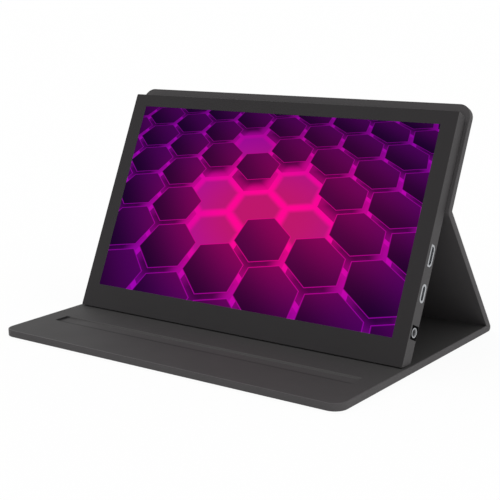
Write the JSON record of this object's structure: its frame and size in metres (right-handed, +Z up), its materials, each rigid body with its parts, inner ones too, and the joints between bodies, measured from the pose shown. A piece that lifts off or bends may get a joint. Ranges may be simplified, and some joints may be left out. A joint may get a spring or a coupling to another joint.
{
  "type": "portable monitor with cover",
  "caption": "Slim portable monitor held by magnets on a folding cover that props it at a lean, with sockets on its right side and keys on its left.",
  "frame": {"origin": "centre of the footprint on the table, on the underside of the cover's base", "axes": "+X to the right of the screen, +Y to the back, +Z up"},
  "size_m": [0.2486, 0.1772, 0.1434],
  "materials": {
    "cover_skin": "fine-grained faux leather, matt",
    "cover_lining": "smooth microfibre, matt",
    "greyboard": "pressed greyboard",
    "magnet": "nickel-plated",
    "bezel_plastic": "fine moulded texture",
    "shell_plastic": "fine moulded texture",
    "screw_steel": "dark zinc",
    "sheet_steel": "bare sheet",
    "screen": "anti-glare glass, picture lit",
    "white_film": "white film",
    "clear_acrylic": "clear acrylic sheet",
    "circuit_board": "green solder mask",
    "ribbon": "amber polyimide",
    "socket_metal": "plated steel",
    "black_plastic": "moulded black",
    "lead": "insulated flat lead"
  },
  "bodies": {
    "base": {"base_skin": "cover_skin", "base_lining": "cover_lining", "front_board": "greyboard", "spine_board": "greyboard", "closing_magnets": "magnet", "back_fold": "cover_skin"},
    "leg": {"leg_skin": "cover_skin", "leg_lining": "cover_lining", "leg_board": "greyboard", "mid_fold": "cover_skin"},
    "upper": {"upper_skin": "cover_skin", "upper_lining": "cover_lining", "upper_board": "greyboard", "holding_magnets": "magnet"},
    "monitor": {"front_bezel": "bezel_plastic", "rear_shell": "shell_plastic", "case_screws": "screw_steel", "steel_plate": "sheet_steel", "glass_cell": "screen", "diffuser_sheets": "white_film", "light_guide": "clear_acrylic", "led_bar": "white_film", "reflector_sheet": "white_film", "module_tray": "sheet_steel", "driver_board": "circuit_board", "board_screws": "screw_steel", "panel_flex": "ribbon", "video_shell": "socket_metal", "video_tongue": "black_plastic", "usb_shell": "socket_metal", "usb_tongue": "black_plastic", "audio_jack": "black_plastic", "jack_ring": "socket_metal", "key_board": "circuit_board", "key_switches": "white_film", "key_ribbon": "ribbon", "speaker_left": "black_plastic", "speaker_right": "black_plastic", "speaker_leads": "lead"},
    "power_key": {"power_key": "black_plastic"},
    "plus_key": {"plus_key": "black_plastic"},
    "minus_key": {"minus_key": "black_plastic"}
  },
  "joints": [
    {"name": "stand_fold", "type": "hinge", "parent": "base", "child": "leg", "pos_m": [0, 0.08234, 0.0044], "axis": [-1, 0, 0], "range_deg": [0, 123.5], "deforming": ["back_fold"]},
    {"name": "panel_fold", "type": "hinge", "parent": "leg", "child": "upper", "pos_m": [0, 0.03204, 0.08464], "axis": [1, 0, 0], "range_deg": [0, 59.35], "deforming": ["mid_fold"]},
    {"name": "monitor_release", "type": "slide", "parent": "upper", "child": "monitor", "axis": [0, -0.9063, 0.4226], "range_m": [0, 0.04]},
    {"name": "power_press", "type": "slide", "parent": "monitor", "child": "power_key", "axis": [1, 0, 0], "range_m": [0, 0.00025], "stiffness_N_per_m": 600},
    {"name": "plus_press", "type": "slide", "parent": "monitor", "child": "plus_key", "axis": [1, 0, 0], "range_m": [0, 0.00025], "stiffness_N_per_m": 600},
    {"name": "minus_press", "type": "slide", "parent": "monitor", "child": "minus_key", "axis": [1, 0, 0], "range_m": [0, 0.00025], "stiffness_N_per_m": 600}
  ],
  "couplings": [
    {"joint": "panel_fold", "follows": "stand_fold", "ratio": 0.47892}
  ]
}
